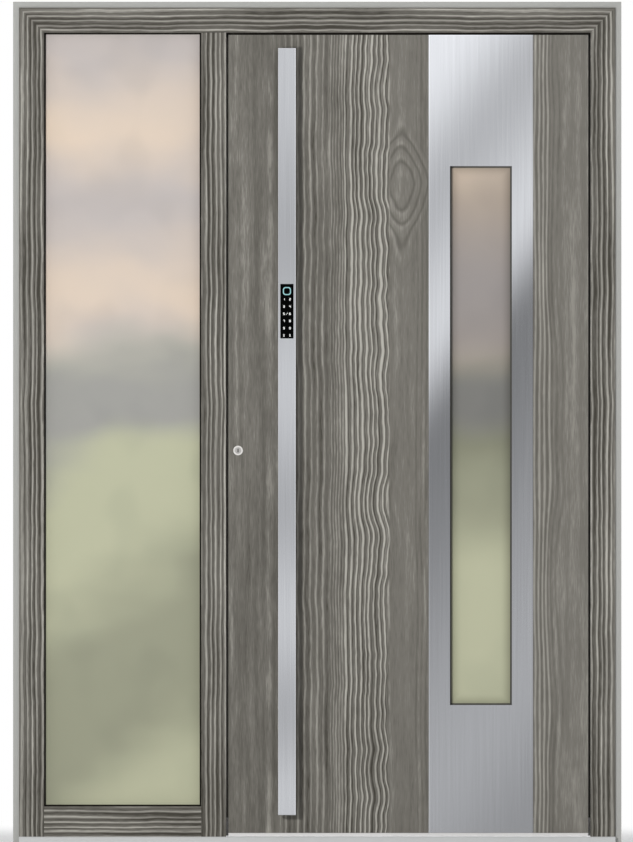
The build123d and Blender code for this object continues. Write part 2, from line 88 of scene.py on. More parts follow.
LEAF_LOW = node_low("outer_panel_lock_side")
INLAY_LOW = node_low("outer_steel_inlay")
INLAY_HIGH = node_high("outer_steel_inlay")
FRAME_FRONT = float(node_low("left_jamb")[1])
BEAD_LOW = node_low("sidelight_glazing_bead")
BEAD_HIGH = node_high("sidelight_glazing_bead")


# Shader maths


class Value:
    """A number socket. Arithmetic on it adds Math nodes."""

    def __init__(self, finish, socket):
        self.finish = finish
        self.socket = socket

    def math(self, operation, *others):
        """Math node with this value first."""
        inputs = dict(enumerate((self,) + others))
        return self.finish.node("ShaderNodeMath", {"operation": operation}, inputs)

    def after(self, operation, first):
        """Math node with this value second."""
        return self.finish.node("ShaderNodeMath", {"operation": operation}, {0: first, 1: self})

    def __add__(self, other):
        return self.math("ADD", other)

    __radd__ = __add__

    def __sub__(self, other):
        return self.math("SUBTRACT", other)

    def __rsub__(self, other):
        return self.after("SUBTRACT", other)

    def __mul__(self, other):
        return self.math("MULTIPLY", other)

    __rmul__ = __mul__

    def __truediv__(self, other):
        return self.math("DIVIDE", other)

    def __rtruediv__(self, other):
        return self.after("DIVIDE", other)

    def __pow__(self, other):
        return self.math("POWER", other)

    def __abs__(self):
        return self.math("ABSOLUTE")

    def least(self, other):
        return self.math("MINIMUM", other)

    def most(self, other):
        return self.math("MAXIMUM", other)

    def root(self):
        return self.math("SQRT")

    def wave(self):
        """One at every whole number and zero half way between, along a cosine."""
        return (self * TURN).math("COSINE") * 0.5 + 0.5

    def rise(self, low, high):
        """Zero below low and one above high, along a smooth step."""
        inputs = {"Value": self, "From Min": low, "From Max": high}
        return self.finish.node("ShaderNodeMapRange", {"interpolation_type": "SMOOTHSTEP"}, inputs)

    def between(self, low, high, soft):
        """One from low to high, falling smoothly to zero over the soft width outside."""
        return self.rise(low - soft, low) * (1 - self.rise(high, high + soft))


class Finish:
    """A material with one Principled shader."""

    def __init__(self, name):
        self.material = bpy.data.materials.new(name)
        self.material.use_nodes = True
        self.tree = self.material.node_tree
        self.tree.nodes.clear()
        self.shader = self.tree.nodes.new("ShaderNodeBsdfPrincipled")
        self.output = self.tree.nodes.new("ShaderNodeOutputMaterial")
        self.tree.links.new(self.shader.outputs[0], self.output.inputs[0])

    def node(self, kind, settings=None, inputs=None, out=0):
        """A node of that kind, its settings set first, then its sockets valued or linked."""
        made = self.tree.nodes.new(kind)
        for key, setting in (settings or {}).items():
            if key == "stops":
                self.fill_stops(made.color_ramp, setting)
            else:
                setattr(made, key, setting)
        for key, value in (inputs or {}).items():
            if isinstance(value, Value):
                self.tree.links.new(value.socket, made.inputs[key])
            else:
                made.inputs[key].default_value = value
        return Value(self, made.outputs[out])

    def fill_stops(self, ramp, stops):
        """Colour stops of a ramp, as pairs of place and colour."""
        ramp.interpolation = "EASE"
        while len(ramp.elements) < len(stops):
            ramp.elements.new(0.5)
        for element, (place, colour) in zip(ramp.elements, stops):
            element.position = place
            element.color = (*colour, 1)

    def place(self):
        """The three Object coordinates."""
        coordinates = self.node("ShaderNodeTexCoord", out="Object")
        split = self.node("ShaderNodeSeparateXYZ", inputs={0: coordinates})
        axes = split.socket.node.outputs
        return tuple(Value(self, axes[index]) for index in range(3))

    def noise(self, across, along, depth, detail):
        """Smooth noise over three scaled coordinates, about 0.5 on average."""
        spot = self.node("ShaderNodeCombineXYZ", inputs={0: across, 1: along, 2: depth})
        inputs = {"Vector": spot, "Scale": 1.0, "Detail": detail, "Roughness": 0.5}
        return self.node("ShaderNodeTexNoise", inputs=inputs)

    def ramp(self, factor, stops):
        """Colour along a ramp."""
        return self.node("ShaderNodeValToRGB", {"stops": stops}, {0: factor})

    def mix(self, factor, first, second, blend="MIX"):
        """Two colours mixed by a factor."""
        settings = {"data_type": "RGBA", "blend_type": blend}
        colours = [c if isinstance(c, Value) else (*c, 1) for c in (first, second)]
        return self.node("ShaderNodeMix", settings, {0: factor, 6: colours[0], 7: colours[1]}, 2)

    def bump(self, height, strength, distance):
        """Surface relief from a height in units of the distance."""
        inputs = {"Height": height, "Strength": strength, "Distance": distance}
        normal = self.node("ShaderNodeBump", inputs=inputs)
        self.tree.links.new(normal.socket, self.shader.inputs["Normal"])

    def set(self, **sockets):
        """Values, colours or links of the shader's sockets, underscores for spaces."""
        for name, value in sockets.items():
            socket = self.shader.inputs[name.replace("_", " ")]
            if isinstance(value, Value):
                self.tree.links.new(value.socket, socket)
            else:
                socket.default_value = (*value, 1) if isinstance(value, tuple) else value


def dress(finish, *nodes):
    """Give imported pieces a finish."""
    for node in nodes:
        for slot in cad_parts[node].material_slots:
            slot.material = finish.material


# Sizes and colours that a user would change


def colour_property(name, description, default):
    """Linear colour property."""
    return bpy.props.FloatVectorProperty(
        name=name, description=description, subtype="COLOR", size=3, min=0, max=1, default=default
    )


def length_property(name, description, default):
    """Length property in metres."""
    return bpy.props.FloatProperty(
        name=name, description=description, subtype="DISTANCE", unit="LENGTH", min=0, default=default
    )


class DoorTimber(bpy.types.PropertyGroup):
    """Wood-look foil of the frame and of the leaf's skins."""

    dark: colour_property("Dark grain", "Deepest lines of the grain", paint(64, 61, 54))
    middle: colour_property("Middle", "Mean colour of the foil", paint(113, 110, 103))
    light: colour_property("Light grain", "Palest lines of the grain", paint(176, 173, 164))
    frame_pitch: length_property("Frame line pitch", "Grain line spacing on the frame", 0.0134)
    leaf_pitch: length_property("Leaf line pitch", "Grain line spacing on the leaf", 0.0135)


class DoorMetal(bpy.types.PropertyGroup):
    """Border, threshold, steel inlay, bars and lock."""

    border: colour_property("Border", "Grey border profile", paint(168, 168, 164))
    threshold: colour_property("Threshold", "Satin threshold", paint(200, 201, 200))
    drip: colour_property("Bottom rail", "Bright rail under the leaf", paint(234, 232, 230))
    steel: colour_property("Steel", "Brushed steel of the inlay and bars", (0.60, 0.607, 0.618))
    lock: colour_property("Lock", "Satin nickel of the lock", paint(226, 223, 218))
    gap: colour_property("Gap black", "Seals and edge profiles", paint(34, 31, 26))
    liner: colour_property("Liner grey", "Lining and gaskets of the leaf's window", paint(84, 83, 78))
    stile: colour_property("Stile grey", "Edge profiles down the leaf's two sides", paint(152, 149, 141))


class DoorGlassPaintedView(bpy.types.PropertyGroup):
    """Soft tints of the painted reflection in the satin glass: a blurred view of sky, a dusk band and
    green land.
    """

    warm: colour_property("Warm", "Warm bands in the upper part", paint(222, 203, 183))
    haze: colour_property("Haze", "Grey between the warm bands", paint(190, 182, 178))
    dusk: colour_property("Dusk", "Dark band near the middle", paint(156, 155, 150))
    meadow: colour_property("Meadow", "Pale green of the lower part", paint(183, 184, 156))
    shade: colour_property("Shade", "Darker green of the lower part", paint(150, 151, 129))


class DoorKeypad(bpy.types.PropertyGroup):
    """Touch keypad in the outer bar."""

    ring: colour_property("Ring light", "Light ring round the finger sensor", paint(150, 205, 208))
    marks: colour_property("Key light", "Lit numerals", paint(255, 255, 255))
    ring_width: length_property("Ring width", "Outside width of the light ring", 0.0212)
    ring_band: length_property("Ring band", "Width of the ring's lit band", 0.0026)
    ring_drop: length_property("Ring drop", "Ring centre below the keypad's top", 0.0187)
    key_drop: length_property("First row drop", "First key row below the keypad's top", 0.0406)
    key_pitch: length_property("Row pitch", "Spacing of the key rows", 0.0191)
    key_spread: length_property("Column spread", "Key columns from the middle", 0.008)
    key_height: length_property("Numeral height", "Height of a lit numeral", 0.0051)


# Surfaces

CLOSED = 1e-3  # share of an outline that stands for a point


def loop_faces(rings, around):
    """Quads between neighbouring closed rings of a grid with that many points around."""
    ring, step = np.meshgrid(np.arange(rings - 1), np.arange(around), indexing="ij")
    after = (step + 1) % around
    corners = (ring * around + step, ring * around + after)
    upper = ((ring + 1) * around + after, (ring + 1) * around + step)
    return np.stack(corners + upper, axis=-1).reshape(-1, 4)


def rounded_outline(width, height, corner, steps=6):
    """Closed outline of a rectangle with round corners, counter-clockwise.

    Each point is a corner's centre plus the corner radius along an angle that turns once."""
    angle = (np.arange(4)[:, None] + np.linspace(0, 1, steps)[None, :]) * (math.pi / 2)
    sign_x = np.array((1, -1, -1, 1))[:, None]
    sign_z = np.array((1, 1, -1, -1))[:, None]
    x = sign_x * (width / 2 - corner) + corner * np.cos(angle)
    z = sign_z * (height / 2 - corner) + corner * np.sin(angle)
    return np.stack((x, z), axis=-1).reshape(-1, 2)


def stack_outlines(outlines, heights):
    """Grid of points: outline number s at its height, over the angle step t.

    Gives across, up and out as the three columns."""
    rings = [np.column_stack((line, np.full(len(line), h))) for line, h in zip(outlines, heights)]
    return np.stack(rings)


def pad_surface(width, height, corner, rise, edge):
    """Rounded pad: outlines that shrink by the edge width while they rise, then close to a point."""
    sizes = ((0, 0), (0, 0.6), (0.4, 0.9), (1, 1))
    cuts = [edge * cut for cut, _ in sizes]
    lines = [
        rounded_outline(width - 2 * cut, height - 2 * cut, max(corner - cut, edge / 4)) for cut in cuts
    ]
    lines.append(lines[-1] * CLOSED)
    return stack_outlines(lines, [rise * part for _, part in sizes] + [rise])


def band_surface(width, corner, band, rise):
    """Closed band round a rounded square: outside up, over and down inside."""
    inner = width - 2 * band
    lines = [
        rounded_outline(width, width, corner),
        rounded_outline(width, width, corner),
        rounded_outline(inner, inner, corner - band * 0.6),
        rounded_outline(inner, inner, corner - band * 0.6),
    ]
    return stack_outlines(lines, (0, rise, rise, 0))


def screw_surface(radius, rise, around=36):
    """Turned head with a six-sided recess.

    Height and radius follow a profile s. Inside, the radius swells six times a turn t."""
    angle = np.arange(around) / around * TURN
    round_line = np.column_stack((np.cos(angle), np.sin(angle)))
    lobes = (1 + 0.12 * np.cos(6 * angle))[:, None] * round_line
    profile = ((1, 0), (1, 0.35), (0.93, 0.75), (0.7, 1.0))
    lines = [round_line * radius * share for share, _ in profile]
    heights = [rise * share for _, share in profile]
    lines += [lobes * radius * 0.42, lobes * radius * 0.4, lobes * radius * CLOSED]
    heights += [rise, rise * 0.25, rise * 0.25]
    return stack_outlines(lines, heights)


def place_copies(surface, centres, across, up, out):
    """Copies of one grid of points, each at a centre, turned to three axes."""
    axes = np.array((across, up, out), dtype=float)
    turned = surface.reshape(-1, 3) @ axes
    return np.asarray(centres, dtype=float)[:, None, :] + turned[None, :, :]


def add_piece(name, copies, rings, around, finish, body, slot):
    """Mesh of like copies of a ring grid, riding on a body."""
    faces = loop_faces(rings, around)
    count, points = copies.shape[:2]
    shift = (np.arange(count) * points)[:, None, None]
    mesh = bpy.data.meshes.new(name)
    mesh.from_pydata(copies.reshape(-1, 3).tolist(), [], (faces[None] + shift).reshape(-1, 4).tolist())
    mesh.validate()
    mesh.materials.append(finish.material)
    piece = bpy.data.objects.new(name, mesh)
    bpy.context.scene.collection.objects.link(piece)
    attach(piece, body)


# Axes of a face: across, up and out
STREET = ((1, 0, 0), (0, 0, 1), (0, -1, 0))
HOUSE = ((-1, 0, 0), (0, 0, 1), (0, 1, 0))
LOCK_EDGE = ((0, -1, 0), (0, 0, 1), (-1, 0, 0))
STRIKE_EDGE = ((0, 1, 0), (0, 0, 1), (1, 0, 0))

# Distances from the sight edge between which the frame's lines are quiet
FRAME_QUIET = (0.046, 0.061)
JAMB_QUIET = (0.0, 0.005)
POST_QUIET = (0.0, 0.006)
RAIL_QUIET = (0.0, 0.004)

# The leaf's eye, from the lock edge and from the foot
EYE_PLACE = (0.459, 1.713)
FLOW_PITCH = 0.0125

# Screws, hinge plates and bolts
SCREW_RADIUS = 0.0042
SCREW_RISE = 0.0009
SCREWS_ON_HINGE = (-0.04, 0.0, 0.04)
HINGE_HALF = 0.054
HINGE_INSET = 0.014
HINGE_PLATE = 0.004
PLATE_INSET = 0.012
BOLT_SIZE = (0.012, 0.032)
BOLT_CORNER = 0.002
BOLT_RISE = 0.001
BOLT_EDGE = 0.0008
BOLT_PLACES = (0.075, -0.045, -0.105)
MARK_RISE = 0.0002

# Studio
SQUARE = ((-1, -1), (1, -1), (1, 1), (-1, 1))
FLOOR_REACH = 14.0
FLOOR_DROP = -0.0006
FLOOR_FADE = (0.9, 2.8)
WORLD_LIGHT = 0.40
CARD_LIGHT = 1.4
CARD_PLACES = {"street_card": -0.3, "house_card": 0.32}
CARD_HIGH = 2.2
INLAY_BANDS = ((0.05, 0.98), (0.19, 0.53), (0.34, 0.79), (0.445, 0.22), (0.83, 0.45), (1.0, 0.33))
LAMP_AIM = (0.0, 0.0, 1.1)
LENS = 900.0
SENSOR = 36.0
BORDER_WIDTH = 608.3  # pixels across the border, then its left and top margins
BORDER_LEFT = 13.1
BORDER_TOP = 1.7


# Finishes


def timber_stops(timber):
    """Five foil colours from the deepest line to the palest."""
    dark, middle, light = (np.array(c) for c in (timber.dark, timber.middle, timber.light))
    lower = middle * 0.62 + dark * 0.38
    upper = middle * 0.62 + light * 0.38
    places = (0.0, 0.3, 0.5, 0.7, 1.0)
    return [(at, tuple(c)) for at, c in zip(places, (dark, lower, middle, upper, light))]


def frame_timber(name, timber, measure, quiet, start):
    """Foil with long lines that keep their distance from the member's sight edge.

    measure gives, from the three coordinates, the distance from the sight edge and the
    distance along from the nearest mitre. Lines are a cosine of the distance from the start,
    carried on round the corner into the depth and bent by slow noise. Between the two quiet
    distances they give way to finer and fainter lines."""
    finish = Finish(name)
    x, y, z = finish.place()
    edge, along = measure(x, y, z)
    wrap = edge + y - FRAME_FRONT
    slow = finish.noise(wrap * 3, along * 5.5, 3.1, 1.0)
    quick = finish.noise(wrap * 16, along * 17.0, 7.7, 1.0)
    dash = finish.noise(wrap * 520, along * 30.0, 5.0, 2.0)
    fibre = finish.noise(wrap * 1700, along * 60.0, 9.0, 1.0)
    bent = wrap + (slow - 0.5) * 0.011 + (quick - 0.5) * 0.0028 + (dash - 0.5) * 0.002
    uneven = finish.noise(bent * 42, along * 0.7, 6.6, 1.0)
    weight = finish.noise(bent * 80, along * 2.6, 1.3, 1.0)
    turns = (bent - start) / timber.frame_pitch + (uneven - 0.5) * 1.1
    lines = turns.wave() ** 1.8
    brink = (turns - 0.3).wave() ** 5
    fine = (bent / 0.0058 + weight * 0.8).wave()
    calm = wrap.between(quiet[0], quiet[1], 0.006)
    bold = (lines - 0.37) * (0.6 - 0.28 * calm) + (weight - 0.5) * 0.9 - brink * 0.2
    # Painted highlights: a pale line along the sight edge, where a bevel would catch the light, and
    # another near the outer edge.
    painted_edge_highlights = 0.3 * (1 - wrap.rise(0.0005, 0.003)) + 0.2 * edge.between(0.060, 0.064, 0.002)
    tone = 0.42 + bold + calm * (fine - 0.5) * 0.2 + (dash - 0.5) * 0.5 + (fibre - 0.5) * 0.2 + painted_edge_highlights
    finish.set(Base_Color=finish.ramp(tone, timber_stops(timber)), Roughness=0.62 - 0.1 * lines)
    finish.set(Specular_IOR_Level=0.2)
    finish.bump(tone, 0.3, 0.0006)
    return finish


def bead_measure(x, y, z):
    """Distance from the bead's nearest outer side, and the two places summed as a length along."""
    across = (x - float(BEAD_LOW[0])).least(float(BEAD_HIGH[0]) - x)
    upward = (z - float(BEAD_LOW[2])).least(float(BEAD_HIGH[2]) - z)
    return across.least(upward), x + z


def leaf_timber(timber):
    """Foil of the leaf: quiet streaks, thin pale lines, bold waving lines, then a calm eye field.

    Every field is a smooth window over the distance from the leaf's lock edge. Its lines are
    cosines of that distance, bent by waves down the height. Round the eye, dark
    lines follow the distance from its middle line plus a term that grows with the square of
    the height from it and levels out. By the hinges they sweep sideways with slow noise."""
    finish = Finish("leaf_foil")
    x, _, z = finish.place()
    edge = x - float(LEAF_LOW[0])
    up = z - float(LEAF_LOW[2])
    waves = finish.noise(edge * 2.2, up * 7.0, 2.2, 1.0)
    ripple = finish.noise(edge * 6.0, up * 15.0, 4.4, 1.0)
    eye_side = edge - EYE_PLACE[0]
    eye_up = up - EYE_PLACE[1]
    tall = eye_up * eye_up
    away = tall / (tall + 0.0096)
    lens = tall * 6 / (1 + tall / 0.0144)
    sway = edge.rise(0.29, 0.42) * (1 - edge.rise(0.44, 0.5))
    bow = (1 - away) * 0.012 * sway
    dash = finish.noise(edge * 430, up * 26.0, 5.9, 2.0)
    rough = (dash - 0.5) * 0.002
    slow_bend = (waves - 0.5) * (0.014 + 0.026 * sway)
    quick_bend = (ripple - 0.5) * (0.004 + 0.012 * sway)
    bent = edge + bow + rough + slow_bend + quick_bend
    uneven = finish.noise(bent * 44, up * 0.6, 7.2, 1.0)
    weight = finish.noise(bent * 80, up * 2.4, 1.7, 1.0)
    streak = finish.noise(bent * 40, up * 1.1, 6.1, 1.0)
    patch = finish.noise(edge * 26, up * 7.0, 2.9, 2.0)
    fibre = finish.noise(edge * 1500, up * 70.0, 3.3, 1.0)

    turns = bent / timber.leaf_pitch + (uneven - 0.5) * 1.1
    bold = turns.wave() ** 1.8 + (turns + 0.5).wave() ** 9 * 0.3
    brink = (turns - 0.3).wave() ** 5
    thin = (bent / 0.0168).wave() ** 2.6
    close = (bent / 0.0076 + weight * 0.5).wave() ** 1.5
    round_eye = (eye_side * eye_side + 0.0005).root() - 0.012 + lens + (ripple - 0.5) * 0.02 + rough
    circuits = (round_eye - 0.027) / 0.018
    ringed = round_eye.between(0.024, 0.07, 0.014)
    contour = (0.2 * circuits.wave() ** 4 - 0.06 * (circuits - 0.35).wave() ** 3) * ringed
    sweep = (finish.noise(edge * 2.0, up * 2.1, 12.0, 1.0) - 0.5) * 0.13
    drift = (finish.noise(edge * 9.0, up * 3.2, 8.1, 1.0) - 0.5) * 0.016
    flow = edge + rough + drift + sweep * edge.rise(0.81, 0.9)
    hinge = (flow / FLOW_PITCH).wave() ** 1.4
    arcs = (flow / 0.017 + drift * 25).wave() ** 2 * (1 - flow.rise(0.868, 0.905))

    bold_field = edge.between(0.312, 0.423, 0.008)
    thin_field = edge.between(0.150, 0.262, 0.014)
    close_field = edge.between(0.270, 0.306, 0.008)
    eye_field = edge.between(0.432, 0.54, 0.008)
    rim_field = edge.between(0.498, 0.53, 0.012) * (1 - ringed)
    hinge_side = edge.rise(0.7, 0.8)
    hinge_field = flow.between(0.80, 0.853, 0.012)
    far_field = flow.rise(0.853, 0.875)
    pale_streak = edge.between(0.106, 0.112, 0.012) + 0.6 * edge.between(0.014, 0.02, 0.012)
    dim_streak = edge.between(0.055, 0.085, 0.02)

    still = 1 - 0.45 * hinge_side - 0.35 * eye_field
    tone = 0.455 + ((weight - 0.5) * 0.55 + (streak - 0.5) * 0.4 + (patch - 0.5) * 0.3) * still
    tone = tone + bold_field * ((bold - 0.37) * 0.66 + 0.09 - brink * 0.26)
    tone = tone + thin_field * ((thin - 0.2) * 0.38 - 0.08)
    tone = tone + close_field * ((close - 0.4) * 0.34 + 0.04)
    tone = tone + eye_field * (0.06 - contour) - rim_field * (flow / FLOW_PITCH).wave() ** 2 * 0.14
    tone = tone + hinge_field * ((hinge - 0.4) * 0.4 + 0.09) + far_field * (0.12 - arcs * 0.2)
    tone = tone + pale_streak * (0.06 + (patch - 0.3) * 0.4) - dim_streak * 0.05
    tone = tone - 0.02 + ((dash - 0.5) * 0.6 + (fibre - 0.5) * 0.2) * still
    foil = finish.ramp(tone, timber_stops(timber))
    finish.set(Base_Color=foil, Roughness=0.62 - 0.15 * (dash - 0.5), Specular_IOR_Level=0.2)
    finish.bump(tone, 0.3, 0.0006)
    return finish


def satin_glass_painted_view(name, node, glass, sight, blur, lean, middle, shady, warm, dim):
    """Satin glass whose colour is a painted reflection of a blurred view, in five soft tints
    laid in level bands that broad noise bends.

    Below the middle height the view is meadow with one band of shade, leaning up to the right.
    At the middle lies a dusk band. Above it haze and warm follow each other along a cosine, given
    by the height of a warm band and the pitch. The part above the middle is dimmed, less so at
    the top. Within the sight distance from the rim it darkens by a smooth step: painted shade."""
    finish = Finish(name)
    x, _, z = finish.place()
    left, _, foot = (float(v) for v in node_low(node))
    right, _, top = (float(v) for v in node_high(node))
    share = (z - foot) / (top - foot)
    to_right = (x - left) / (right - left)
    rim = (x - left).least(right - x).least((z - foot).least(top - z))
    # From here the colours are a painted reflection of a blurred view: meadow, shade, dusk, haze and
    # warm sky.
    broad = finish.noise(x * 3.2, z * 4.0 - x * 0.9, 4.0, 1.0)
    small = finish.noise(x * 6.0, z * 11.0, 9.0, 1.0)
    cloud = finish.noise(x * 7.0, z * 5.5, 14.0, 1.0)
    grain = finish.noise(x * 900, z * 900, 1.0, 1.0)
    slope = (to_right - 0.5) * lean * (1 - share.rise(middle - 0.13, middle + 0.04))
    bent = share - slope + (broad - 0.5) * blur + (small - 0.5) * blur * 0.4
    shaded = bent.between(shady - 0.05, shady + 0.05, 0.13)
    lower = finish.mix(shaded, tuple(glass.meadow), tuple(glass.shade))
    warm_place, warm_pitch = warm
    drift = finish.noise(x * 2.4, z * 3.4 + x * 1.3, 21.0, 1.0)
    warmth = ((bent + (drift - 0.5) * blur * 1.2 - warm_place) / warm_pitch).wave() * (0.25 + drift)
    upper = finish.mix(warmth.least(1.0), tuple(glass.haze), tuple(glass.warm))
    tint = finish.mix(bent.rise(middle - 0.02, middle + 0.13), lower, upper)
    tint = finish.mix(bent.between(middle, middle + 0.03, 0.07), tint, tuple(glass.dusk))
    # Painted reflection: the view darkens above the middle, less so at the top.
    dimmed = bent.between(middle, 0.92, 0.14) * dim
    tint = finish.mix(dimmed, tint, (0.0, 0.0, 0.0))
    # Painted reflection: cloudy patches darken the view.
    tint = finish.mix(cloud.rise(0.48, 0.72) * 0.45, tint, (0.84, 0.85, 0.86), "MULTIPLY")
    # Painted shade: the glass darkens within the sight distance of its rim, as in the shade of a recess.
    shade = finish.mix(1 - rim.rise(0.0, sight), tint, (0.62, 0.62, 0.6), "MULTIPLY")
    finish.set(Base_Color=shade, Roughness=0.42 + (grain - 0.5) * 0.1)
    finish.set(Specular_IOR_Level=0.3, Coat_Weight=0.06, Coat_Roughness=0.25)
    return finish


def brushed_steel(name, colour, node, painted_edge_light_and_shade, edge_width):
    """Brushed steel: fine upright scratches from noise drawn out along the brushing.

    Narrow windows along the piece's left, top and right edges carry painted highlights, and painted
    shade where a weight is below zero, standing in for the light on a turned edge."""
    finish = Finish(name)
    x, y, z = finish.place()
    low, high = node_low(node), node_high(node)
    scratch = finish.noise((x + y * 0.7) * 1900, z * 7.0, 2.0, 2.0)
    broad = finish.noise((x + y * 0.7) * 230, z * 2.6, 6.0, 2.0)
    left = 1 - (x - float(low[0])).rise(edge_width * 0.5, edge_width)
    right = 1 - (float(high[0]) - x).rise(edge_width * 0.5, edge_width)
    top = 1 - (float(high[2]) - z).rise(edge_width * 0.5, edge_width)
    # Painted highlights and painted shade along the edges, one weight for each edge.
    rim = left * painted_edge_light_and_shade[0] + top * painted_edge_light_and_shade[1] + right * painted_edge_light_and_shade[2]
    tone = 0.5 + (scratch - 0.5) * 0.16 + (broad - 0.5) * 0.16 + rim
    shade = finish.mix(tone, tuple(c * 0.5 for c in colour), tuple(min(1.5, c * 1.5) for c in colour))
    finish.set(Base_Color=shade, Metallic=1.0, Roughness=0.22 + (scratch - 0.5) * 0.1)
    finish.bump(scratch, 0.04, 0.0002)
    return finish


def satin_metal(name, colour, metallic, rough):
    """Satin coated or anodised metal with a faint drawn mottle."""
    finish = Finish(name)
    x, y, z = finish.place()
    speck = finish.noise(x * 260 + y * 90, z * 260, 2.0, 2.0)
    drawn = finish.noise(x * 6 + y * 500, z * 6, 8.0, 1.0)
    tone = 0.5 + (speck - 0.5) * 0.14 + (drawn - 0.5) * 0.12
    shade = finish.mix(tone, tuple(c * 0.86 for c in colour), tuple(min(1, c * 1.14) for c in colour))
    finish.set(Base_Color=shade, Metallic=metallic, Roughness=rough + (speck - 0.5) * 0.1)
    finish.set(Specular_IOR_Level=0.3)
    return finish


def matt_dark(name, colour, rough):
    """Matt dark finish with a faint mottle, for seals, linings and edge profiles."""
    finish = Finish(name)
    x, y, z = finish.place()
    speck = finish.noise(x * 380 + y * 120, z * 380, 3.0, 2.0)
    shade = finish.mix(speck, tuple(c * 0.7 for c in colour), tuple(c * 1.3 for c in colour))
    finish.set(Base_Color=shade, Roughness=rough + (speck - 0.5) * 0.1, Specular_IOR_Level=0.15)
    return finish


def stile_grey(name, colour, dark):
    """Coated edge profile with a faint mottle, darkening by a smooth step into its top end."""
    finish = Finish(name)
    x, y, z = finish.place()
    top = float(node_high("leaf_lock_stile")[2])
    speck = finish.noise(x * 260 + y * 90, z * 260, 2.0, 2.0)
    shade = finish.mix(speck, tuple(c * 0.9 for c in colour), tuple(min(1, c * 1.1) for c in colour))
    finish.set(Base_Color=finish.mix(z.rise(top - 0.03, top - 0.015), shade, dark))
    finish.set(Roughness=0.5 + (speck - 0.5) * 0.1, Specular_IOR_Level=0.3)
    return finish


def rigid_foam():
    """Rigid insulating foam: pale cells from fine noise."""
    finish = Finish("rigid_foam")
    x, y, z = finish.place()
    cells = finish.noise(x * 700, z * 700, y * 700, 2.0)
    shade = finish.mix(cells, paint(176, 168, 140), paint(206, 200, 176))
    finish.set(Base_Color=shade, Roughness=0.9)
    finish.bump(cells, 0.4, 0.0005)
    return finish


def lit_mark(name, colour):
    """Back-lit mark: the light is a little stronger where fine noise lets more through."""
    finish = Finish(name)
    x, _, z = finish.place()
    glow = finish.noise(x * 300, z * 300, 1.0, 1.0)
    shade = finish.mix(glow, tuple(c * 0.85 for c in colour), colour)
    finish.set(Base_Color=(0.02, 0.02, 0.02), Emission_Color=shade, Emission_Strength=1.0, Roughness=0.4)
    return finish


# Operators


class DOOR_OT_frame_timber(bpy.types.Operator):
    """Wood-look foil on the jambs, head, post, bottom rail and glazing bead"""

    bl_idname = "door.frame_timber"
    bl_label = "Frame timber"

    def execute(self, context):
        timber = context.scene.door_timber
        left_sight = float(node_high("left_jamb")[0])
        right_sight = float(node_low("right_jamb")[0])
        head_sight = float(node_low("head")[2])
        post_sight = float(node_low("mullion_post")[0])
        rail_sight = float(node_high("sidelight_bottom_rail")[2])
        middle = (left_sight + right_sight) / 2
        half = (right_sight - left_sight) / 2
        members = {
            "left_jamb": (lambda x, y, z: (left_sight - x, head_sight - z), FRAME_QUIET, 0.005),
            "right_jamb": (lambda x, y, z: (x - right_sight, head_sight - z), JAMB_QUIET, 0.0032),
            "head": (lambda x, y, z: (z - head_sight, half - abs(x - middle)), FRAME_QUIET, 0.005),
            "mullion_post": (lambda x, y, z: (x - post_sight, head_sight - z), POST_QUIET, 0.0122),
            "sidelight_bottom_rail": (lambda x, y, z: (rail_sight - z, x + 8), RAIL_QUIET, 0.0012),
            "sidelight_glazing_bead": (bead_measure, RAIL_QUIET, 0.005),
        }
        for node, (measure, quiet, start) in members.items():
            dress(frame_timber(node + "_foil", timber, measure, quiet, start), node)
        return {"FINISHED"}


class DOOR_OT_borders(bpy.types.Operator):
    """Satin metal on the border profiles, the threshold and the leaf's bottom rail"""

    bl_idname = "door.borders"
    bl_label = "Borders and threshold"

    def execute(self, context):
        metal = context.scene.door_metal
        border = satin_metal("border_grey", tuple(metal.border), 0.0, 0.5)
        dress(border, "left_trim", "right_trim", "head_trim")
        dress(satin_metal("threshold_satin", tuple(metal.threshold), 0.15, 0.45), "threshold")
        dress(satin_metal("drip_bright", tuple(metal.drip), 0.1, 0.35), "leaf_bottom_rail")
        return {"FINISHED"}


class DOOR_OT_glazing(bpy.types.Operator):
    """Satin glass with a painted reflection and painted rim shade, in the sidelight and in the leaf's
    window
    """

    bl_idname = "door.glazing"
    bl_label = "Satin glass"

    def execute(self, context):
        glass = context.scene.door_glass
        # Each pane's colour is a painted reflection of a blurred view. sight is the width of the painted
        # shade at the rim, and dim darkens the view's upper part.
        pane = satin_glass_painted_view(
            "sidelight_satin", "sidelight_outer_pane", glass, sight=0.012, blur=0.1, lean=0.13,
            middle=0.51, shady=0.17, warm=(0.67, 0.215), dim=0.0,
        )
        dress(pane, "sidelight_outer_pane", "sidelight_inner_pane")
        pane = satin_glass_painted_view(
            "window_satin", "window_outer_pane", glass, sight=0.045, blur=0.05, lean=0.0,
            middle=0.55, shady=0.43, warm=(1.0, 0.5), dim=0.41,
        )
        dress(pane, "window_outer_pane", "window_inner_pane")
        return {"FINISHED"}


class DOOR_OT_leaf_timber(bpy.types.Operator):
    """Wood-look foil on the leaf's outer and inner panels"""

    bl_idname = "door.leaf_timber"
    bl_label = "Leaf timber"

    def execute(self, context):
        panels = [
            f"{face}_panel_{side}_side" for face in ("outer", "inner") for side in ("lock", "hinge")
        ]
        dress(leaf_timber(context.scene.door_timber), *panels)
        return {"FINISHED"}


